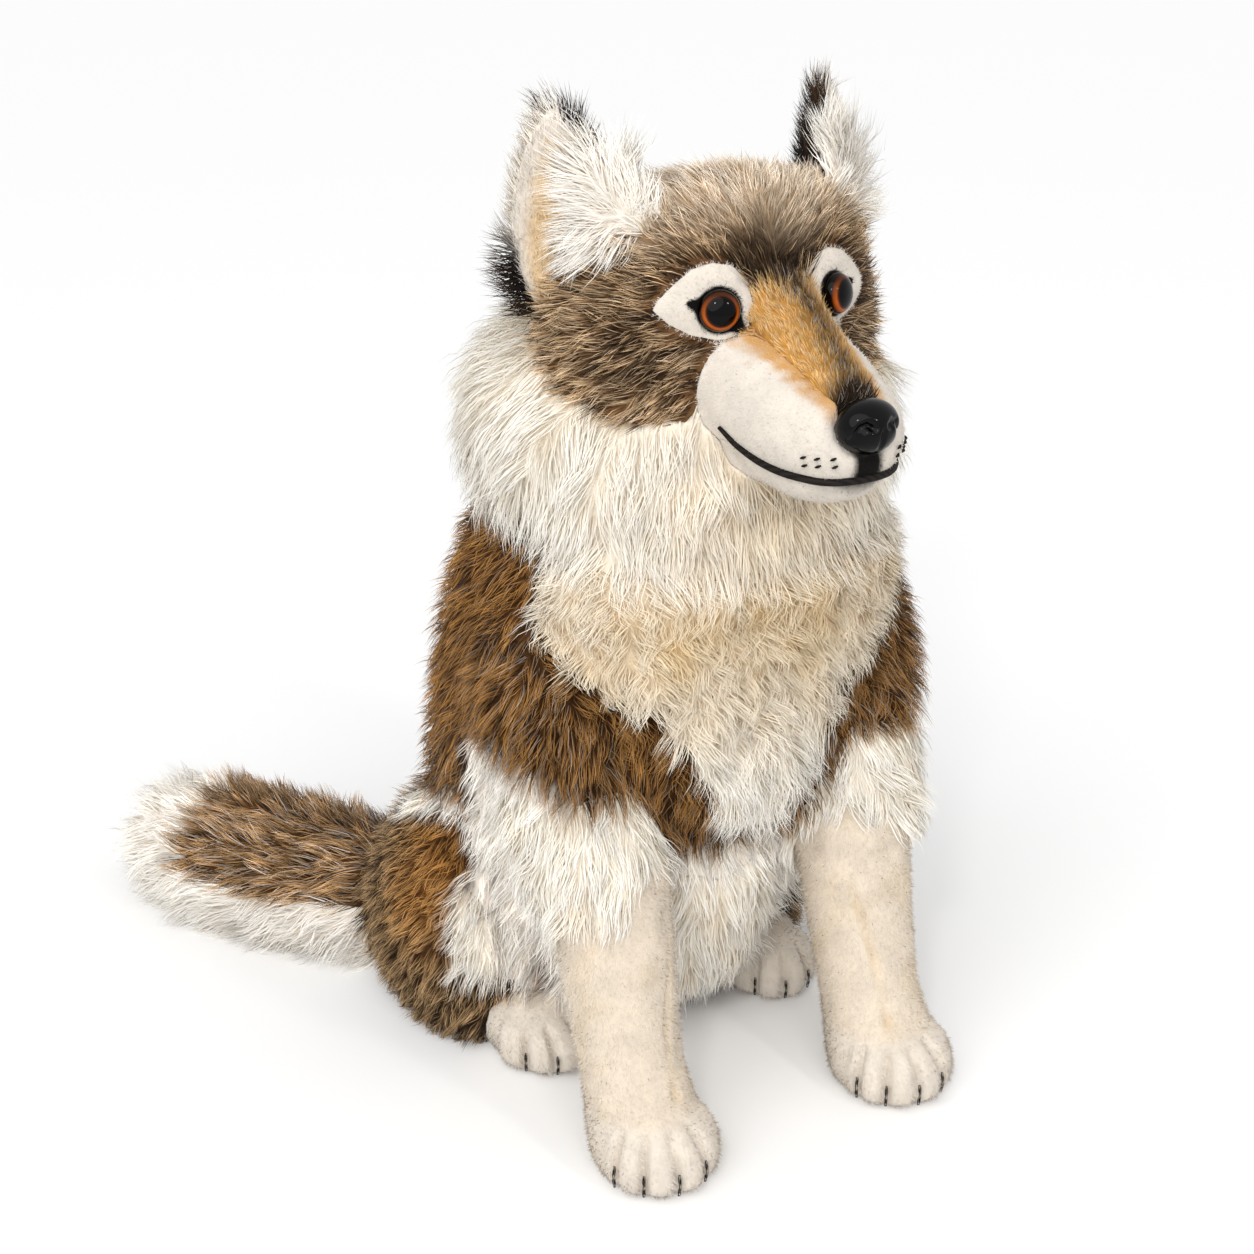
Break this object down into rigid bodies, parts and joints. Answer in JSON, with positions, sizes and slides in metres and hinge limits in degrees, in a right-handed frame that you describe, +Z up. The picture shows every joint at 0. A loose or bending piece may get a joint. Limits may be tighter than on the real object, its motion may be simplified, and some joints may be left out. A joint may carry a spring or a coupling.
{
  "type": "plush wolf",
  "caption": "Seated plush wolf in long and short pile, upright on straight front legs, with a bushy tail laid behind it.",
  "frame": {"origin": "middle of the flat seat, on the floor and on the plane that mirrors the left and right limbs", "axes": "+Z up, the wolf faces -Y and its left side is +X"},
  "size_m": [0.3492, 0.4946, 0.5143],
  "materials": {
    "grey_fur": "long grey-brown faux fur pile",
    "brown_fur": "long brown faux fur pile",
    "dark_fur": "long dark brown faux fur pile",
    "cream_fur": "long cream faux fur pile",
    "white_fur": "long white faux fur pile",
    "short_pile": "short cream pile",
    "white_pile": "short white pile",
    "tan_pile": "short tan pile",
    "thread": "matt black thread",
    "nose_plastic": "gloss",
    "eye_plastic": "gloss",
    "washer_plastic": "satin"
  },
  "bodies": {
    "root": {"torso": "brown_fur", "neck_ruff": "cream_fur", "chest_bib": "cream_fur", "belly": "white_fur", "head": "grey_fur", "muzzle": "white_pile", "nose_bridge": "tan_pile", "lower_jaw": "white_pile", "nose": "nose_plastic", "nose_washer": "washer_plastic", "lip_line": "thread", "tail": "white_fur", "tail_top": "brown_fur", "shoulder_left": "brown_fur", "sleeve_left": "white_fur", "front_leg_left": "short_pile", "haunch_left": "grey_fur", "hind_foot_left": "short_pile", "eye_patch_left": "white_pile", "eye_left": "eye_plastic", "eye_washer_left": "washer_plastic", "ear_back_left": "dark_fur", "ear_lining_left": "short_pile", "ear_tuft_left": "white_fur", "claw_front_left_1": "thread", "claw_front_left_2": "thread", "claw_front_left_3": "thread", "claw_front_left_4": "thread", "claw_hind_left_1": "thread", "claw_hind_left_2": "thread", "claw_hind_left_3": "thread", "shoulder_right": "brown_fur", "sleeve_right": "white_fur", "front_leg_right": "short_pile", "haunch_right": "grey_fur", "hind_foot_right": "short_pile", "eye_patch_right": "white_pile", "eye_right": "eye_plastic", "eye_washer_right": "washer_plastic", "ear_back_right": "dark_fur", "ear_lining_right": "short_pile", "ear_tuft_right": "white_fur", "claw_front_right_1": "thread", "claw_front_right_2": "thread", "claw_front_right_3": "thread", "claw_front_right_4": "thread", "claw_hind_right_1": "thread", "claw_hind_right_2": "thread", "claw_hind_right_3": "thread"}
  },
  "joints": []
}
